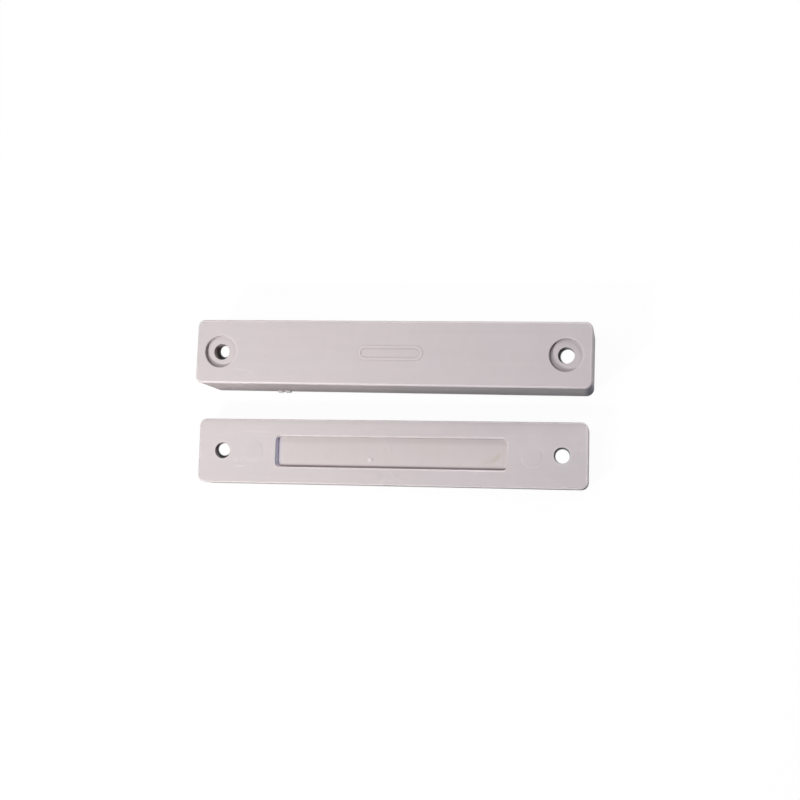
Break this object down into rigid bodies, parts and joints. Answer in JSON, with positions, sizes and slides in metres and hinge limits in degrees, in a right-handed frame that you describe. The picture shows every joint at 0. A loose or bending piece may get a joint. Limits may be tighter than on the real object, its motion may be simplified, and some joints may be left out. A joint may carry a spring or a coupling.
{
  "type": "magnetic contact",
  "caption": "Surface-mount magnetic contact: a deep bar with a potted reed switch, front up, beside a shallow bar with a magnet, face down. Both screw on through holes near their ends.",
  "frame": {"origin": "middle between the two halves, on the surface that both lie on", "axes": "+X along both halves, away from the lead inlet's end; +Y from the magnet half to the switch half; +Z out of the switch half's front"},
  "size_m": [0.1027, 0.0419, 0.0161],
  "materials": {
    "case_plastic": "satin warm light grey moulding",
    "fill_resin": "cast resin, dull",
    "grommet_rubber": "soft pale grey",
    "reed_glass": "clear, slightly green",
    "reed_metal": "nickel-iron wire",
    "sleeve_metal": "tinned",
    "magnet_metal": "dull sintered magnet"
  },
  "bodies": {
    "root": {"switch_housing": "case_plastic", "lead_grommet": "grommet_rubber", "reed_capsule": "reed_glass", "reed_blade_left": "reed_metal", "reed_blade_right": "reed_metal", "crimp_sleeve_left": "sleeve_metal", "crimp_sleeve_right": "sleeve_metal", "switch_resin": "fill_resin", "magnet_housing": "case_plastic", "bar_magnet": "magnet_metal", "magnet_resin": "fill_resin"}
  },
  "joints": []
}
